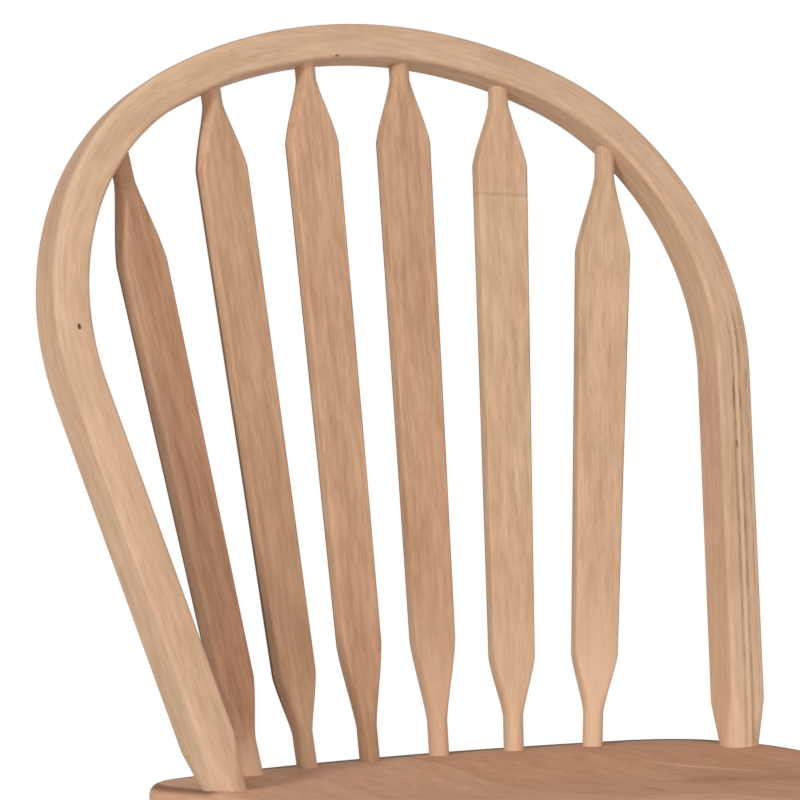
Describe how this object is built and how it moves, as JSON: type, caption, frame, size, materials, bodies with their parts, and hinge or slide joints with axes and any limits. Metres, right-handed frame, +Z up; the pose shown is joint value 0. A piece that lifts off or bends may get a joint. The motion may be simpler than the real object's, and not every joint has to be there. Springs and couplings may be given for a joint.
{
  "type": "windsor chair",
  "caption": "Bow-back wooden side chair with arrow-shaped back spindles, a saddled board seat, splayed turned legs and an H of stretchers.",
  "frame": {"origin": "on the floor, below the middle of the chair's box", "axes": "+Z up; -Y is the front of the chair and +Y its back; +X is the right hand of someone facing its front"},
  "size_m": [0.5016, 0.4403, 0.901],
  "materials": {
    "bow_wood": "bare sanded wood",
    "seat_wood": "bare sanded wood",
    "dark_spindle_wood": "bare sanded wood",
    "tan_spindle_wood": "bare sanded wood",
    "pale_spindle_wood": "bare sanded wood",
    "leg_wood": "bare sanded wood",
    "glide_nylon": "moulded nylon",
    "steel": "zinc plated"
  },
  "bodies": {
    "root": {"seat_board_1": "seat_wood", "seat_board_2": "seat_wood", "seat_board_3": "seat_wood", "seat_board_4": "seat_wood", "bow": "bow_wood", "spindle_1": "dark_spindle_wood", "spindle_2": "dark_spindle_wood", "spindle_3": "dark_spindle_wood", "spindle_4": "tan_spindle_wood", "spindle_5": "pale_spindle_wood", "spindle_6": "pale_spindle_wood", "front_left_leg": "leg_wood", "front_right_leg": "leg_wood", "rear_left_leg": "leg_wood", "rear_right_leg": "leg_wood", "left_stretcher": "leg_wood", "right_stretcher": "leg_wood", "cross_stretcher": "leg_wood", "front_left_glide": "glide_nylon", "front_right_glide": "glide_nylon", "rear_left_glide": "glide_nylon", "rear_right_glide": "glide_nylon", "spindle_brads": "steel", "bow_screws": "steel"}
  },
  "joints": []
}
